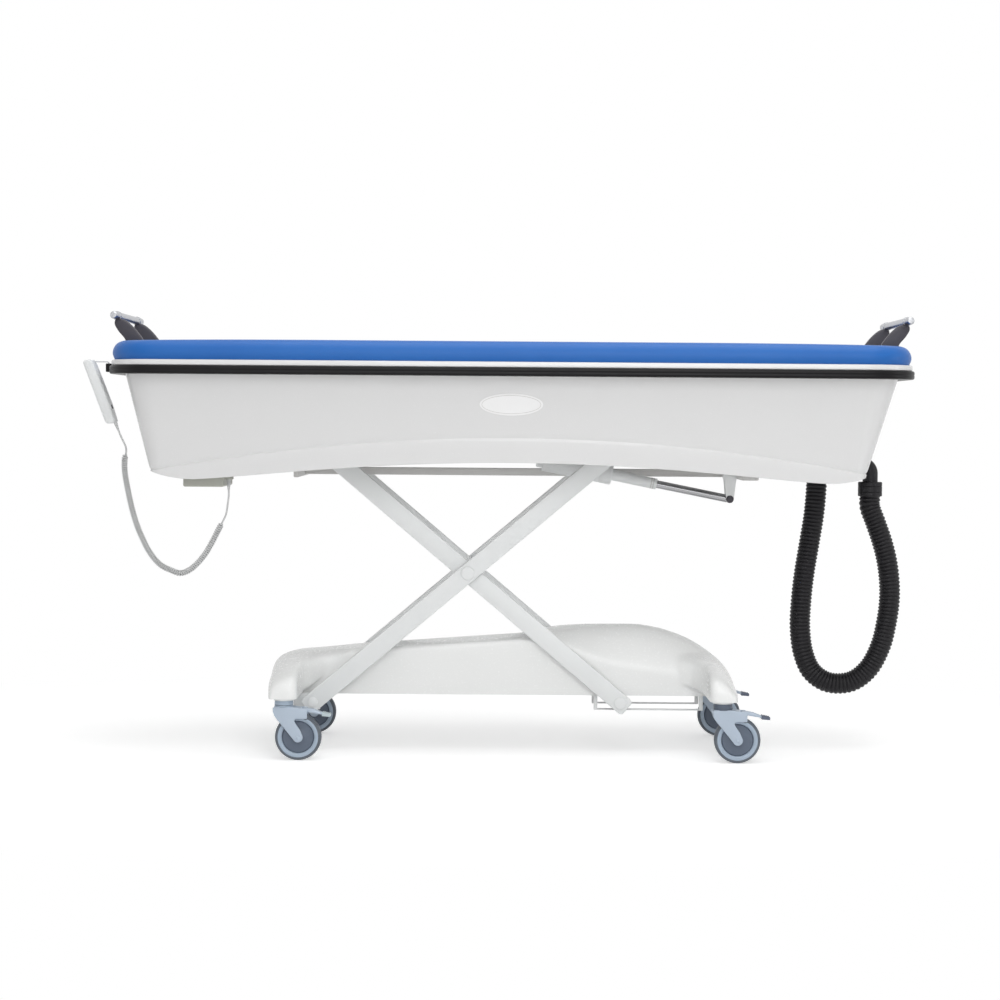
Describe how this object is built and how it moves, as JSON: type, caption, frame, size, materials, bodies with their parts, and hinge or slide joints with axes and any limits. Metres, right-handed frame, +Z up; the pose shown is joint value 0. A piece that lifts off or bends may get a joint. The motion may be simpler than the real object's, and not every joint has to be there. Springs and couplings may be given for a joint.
{
  "type": "shower trolley",
  "caption": "Height-adjustable shower trolley: padded tub with a drain hose on a scissor lift over a covered castor base, with a corded hand control.",
  "frame": {"origin": "on the floor, under the middle of the trolley's box without its hose and cord", "axes": "+X along the tub towards the drain end, +Y across towards the side away from the hand control, +Z up"},
  "size_m": [2.2379, 0.78, 1.2012],
  "materials": {
    "cover": "satin white moulded plastic",
    "frame_white": "white powder coat",
    "frame_grey": "grey paint",
    "shell": "glossy white",
    "pad": "blue coated fabric over foam",
    "bumper": "black",
    "handle": "dark grey moulded",
    "bar": "silver",
    "rod": "bright",
    "castor": "light blue grey",
    "pedal": "light blue grey with a ribbed tip",
    "wheel": "grey tyre on a blue-grey disc",
    "hose": "ribbed black",
    "cord": "grey",
    "control": "light grey",
    "slab": "olive grey",
    "button": "grey",
    "battery": "dark grey"
  },
  "bodies": {
    "chassis": {"base_cover": "cover", "left_cross_member": "frame_white", "right_cross_member": "frame_white", "near_base_rail": "frame_grey", "far_base_rail": "frame_grey", "lower_pivot_shaft": "frame_grey", "battery_pack": "battery"},
    "near_left_castor": {"near_left_fork": "castor"},
    "near_left_wheel": {"near_left_wheel": "wheel"},
    "near_left_pedal": {"near_left_pedal": "pedal"},
    "near_right_castor": {"near_right_fork": "castor"},
    "near_right_wheel": {"near_right_wheel": "wheel"},
    "near_right_pedal": {"near_right_pedal": "pedal"},
    "far_left_castor": {"far_left_fork": "castor"},
    "far_left_wheel": {"far_left_wheel": "wheel"},
    "far_left_pedal": {"far_left_pedal": "pedal"},
    "far_right_castor": {"far_right_fork": "castor"},
    "far_right_wheel": {"far_right_wheel": "wheel"},
    "far_right_pedal": {"far_right_pedal": "pedal"},
    "outer_arms": {"near_outer_arm": "frame_white", "far_outer_arm": "frame_white", "outer_cross_tube": "frame_white", "centre_shaft": "frame_white"},
    "inner_arms": {"near_inner_arm": "frame_white", "far_inner_arm": "frame_white", "inner_cross_tube": "frame_white"},
    "near_roller": {"near_lower_roller": "handle"},
    "far_roller": {"far_lower_roller": "handle"},
    "upper_rollers": {"upper_roller_axle": "handle"},
    "platform": {"near_guide_rail": "frame_grey", "far_guide_rail": "frame_grey", "upper_pivot_shaft": "frame_grey", "left_end_beam": "frame_grey", "right_end_beam": "frame_grey", "tie_bar": "frame_grey", "actuator_bracket": "frame_white", "tub_shell": "shell", "rim_bumper": "bumper", "tub_liner": "pad", "near_left_handle": "handle", "far_left_handle": "handle", "left_handle_bar": "bar", "near_right_handle": "handle", "far_right_handle": "handle", "right_handle_bar": "bar", "drain_elbow": "hose", "hose_cuff": "hose", "hose_holder": "hose", "drain_hose": "hose", "control_box": "slab", "cord_gland": "cord", "handset": "control", "handset_hook": "bumper", "handset_lead": "cord", "curly_cord": "cord", "gland_lead": "cord"},
    "ram_rod": {"actuator_rod": "rod"},
    "ram_barrel": {"actuator_barrel": "control"},
    "up_button": {"up_button": "button"},
    "down_button": {"down_button": "button"}
  },
  "joints": [
    {"name": "near_left_swivel", "type": "hinge", "parent": "chassis", "child": "near_left_castor", "pos_m": [-0.57305, -0.26, 0.15], "axis": [0, 0, 1], "continuous": true},
    {"name": "near_left_roll", "type": "hinge", "parent": "near_left_castor", "child": "near_left_wheel", "pos_m": [-0.53405, -0.26, 0.0625], "axis": [0, 1, 0], "continuous": true},
    {"name": "near_left_brake", "type": "hinge", "parent": "near_left_castor", "child": "near_left_pedal", "pos_m": [-0.51705, -0.26, 0.136], "axis": [0, 1, 0], "range_deg": [0, 12]},
    {"name": "near_right_swivel", "type": "hinge", "parent": "chassis", "child": "near_right_castor", "pos_m": [0.60695, -0.26, 0.15], "axis": [0, 0, 1], "continuous": true},
    {"name": "near_right_roll", "type": "hinge", "parent": "near_right_castor", "child": "near_right_wheel", "pos_m": [0.64595, -0.26, 0.0625], "axis": [0, 1, 0], "continuous": true},
    {"name": "near_right_brake", "type": "hinge", "parent": "near_right_castor", "child": "near_right_pedal", "pos_m": [0.66295, -0.26, 0.136], "axis": [0, 1, 0], "range_deg": [0, 12]},
    {"name": "far_left_swivel", "type": "hinge", "parent": "chassis", "child": "far_left_castor", "pos_m": [-0.57305, 0.26, 0.15], "axis": [0, 0, 1], "continuous": true},
    {"name": "far_left_roll", "type": "hinge", "parent": "far_left_castor", "child": "far_left_wheel", "pos_m": [-0.53405, 0.26, 0.0625], "axis": [0, 1, 0], "continuous": true},
    {"name": "far_left_brake", "type": "hinge", "parent": "far_left_castor", "child": "far_left_pedal", "pos_m": [-0.51705, 0.26, 0.136], "axis": [0, 1, 0], "range_deg": [0, 12]},
    {"name": "far_right_swivel", "type": "hinge", "parent": "chassis", "child": "far_right_castor", "pos_m": [0.60695, 0.26, 0.15], "axis": [0, 0, 1], "continuous": true},
    {"name": "far_right_roll", "type": "hinge", "parent": "far_right_castor", "child": "far_right_wheel", "pos_m": [0.64595, 0.26, 0.0625], "axis": [0, 1, 0], "continuous": true},
    {"name": "far_right_brake", "type": "hinge", "parent": "far_right_castor", "child": "far_right_pedal", "pos_m": [0.66295, 0.26, 0.136], "axis": [0, 1, 0], "range_deg": [0, 12]},
    {"name": "lift", "type": "hinge", "parent": "chassis", "child": "outer_arms", "pos_m": [-0.50605, 0, 0.14], "axis": [0, -1, 0], "range_deg": [-17, 2.5]},
    {"name": "scissor", "type": "hinge", "parent": "outer_arms", "child": "inner_arms", "pos_m": [-0.08367, 0, 0.49694], "axis": [0, -1, 0], "range_deg": [-5, 34]},
    {"name": "platform_level", "type": "hinge", "parent": "inner_arms", "child": "platform", "pos_m": [-0.50605, 0, 0.85388], "axis": [0, -1, 0], "range_deg": [-17, 2.5]},
    {"name": "near_roller_turn", "type": "hinge", "parent": "inner_arms", "child": "near_roller", "pos_m": [0.3387, -0.071, 0.14], "axis": [0, 1, 0], "continuous": true},
    {"name": "far_roller_turn", "type": "hinge", "parent": "inner_arms", "child": "far_roller", "pos_m": [0.3387, 0.071, 0.14], "axis": [0, 1, 0], "continuous": true},
    {"name": "upper_roller_turn", "type": "hinge", "parent": "outer_arms", "child": "upper_rollers", "pos_m": [0.3387, 0, 0.85388], "axis": [0, 1, 0], "continuous": true},
    {"name": "rod_swing", "type": "hinge", "parent": "platform", "child": "ram_rod", "pos_m": [0.64395, 0, 0.701], "axis": [0, -1, 0], "range_deg": [-12, 2]},
    {"name": "barrel_slide", "type": "slide", "parent": "ram_rod", "child": "ram_barrel", "axis": [-0.981, 0, 0.1941], "range_m": [-0.149, 0.0225]},
    {"name": "up_press", "type": "slide", "parent": "platform", "child": "up_button", "axis": [0.9354, 0, 0.3535], "range_m": [0, 0.0015], "stiffness_N_per_m": 400},
    {"name": "down_press", "type": "slide", "parent": "platform", "child": "down_button", "axis": [0.9354, 0, 0.3535], "range_m": [0, 0.0015], "stiffness_N_per_m": 400}
  ],
  "couplings": [
    {"joint": "scissor", "follows": "lift", "ratio": -2},
    {"joint": "platform_level", "follows": "lift", "ratio": 1},
    {"joint": "rod_swing", "follows": "lift", "ratio": 0.69},
    {"joint": "barrel_slide", "follows": "lift", "m_per_rad": 0.4985}
  ]
}
